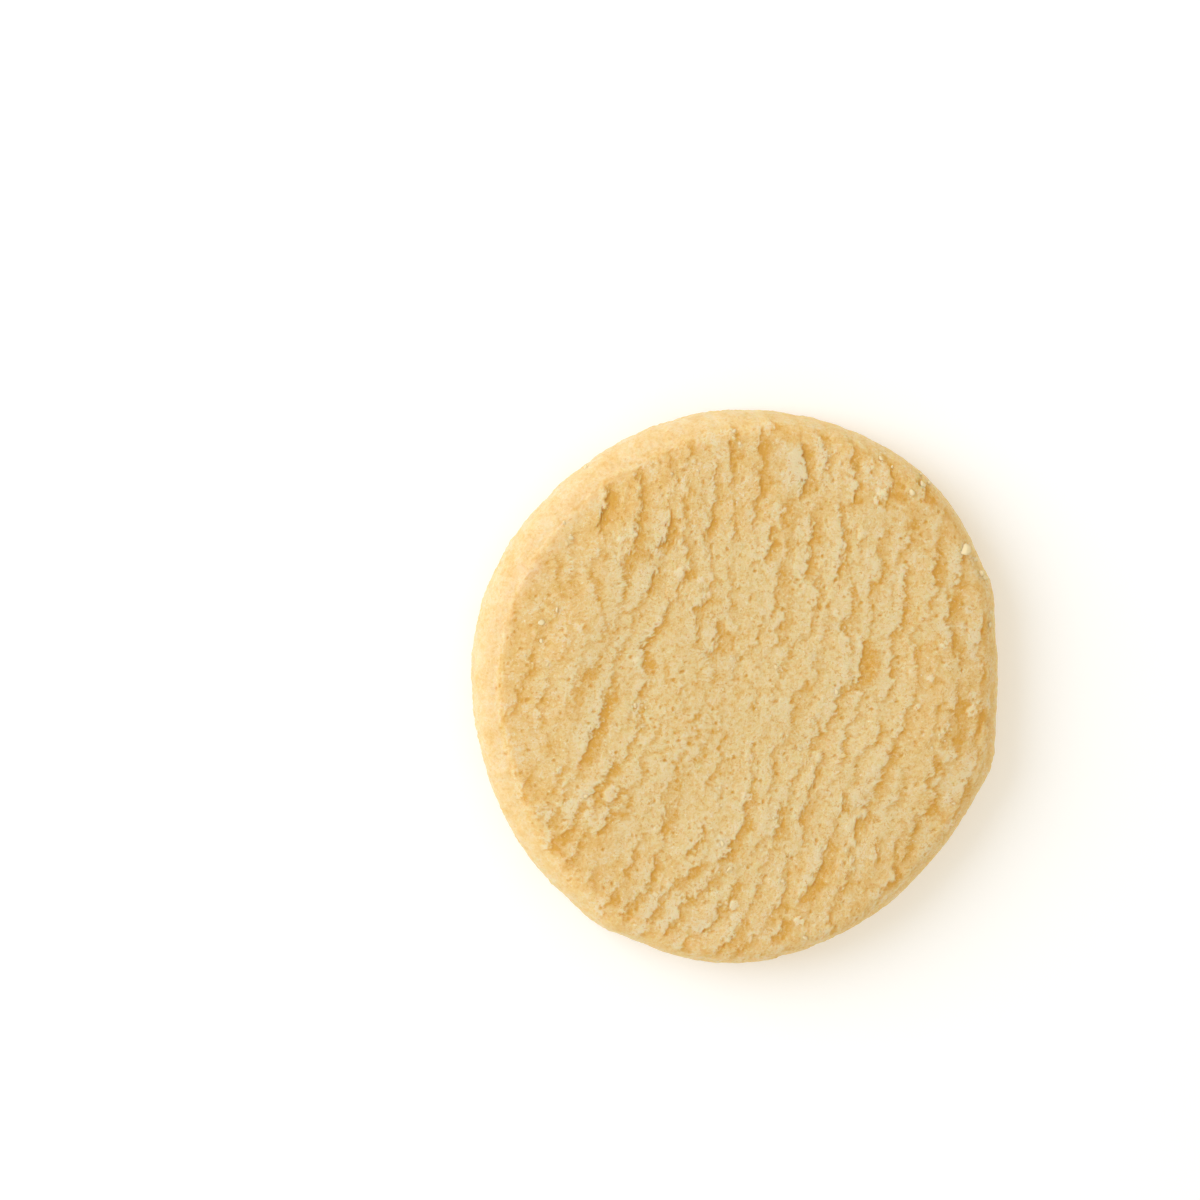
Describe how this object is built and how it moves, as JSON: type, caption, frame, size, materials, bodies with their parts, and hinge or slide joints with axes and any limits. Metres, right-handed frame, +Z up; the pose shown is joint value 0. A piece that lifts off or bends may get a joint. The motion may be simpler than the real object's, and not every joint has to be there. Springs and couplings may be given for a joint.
{
  "type": "shortbread biscuit",
  "caption": "Round flat shortbread biscuit with a smooth rounded side and a face of torn, overlapping ridges left by the cutting wire.",
  "frame": {"origin": "middle of the flat base, on the surface that the biscuit lies on", "axes": "+Z up through the thickness, with the ridged face upwards; +X is about the way the cutting wire moved, and the ridges run about 16 degrees off +Y"},
  "size_m": [0.0578, 0.0602, 0.009],
  "materials": {
    "baked_dough": "dry baked butter dough, pale golden with a slightly browner rim, matt and finely crumbly"
  },
  "bodies": {
    "root": {"biscuit": "baked_dough"}
  },
  "joints": []
}
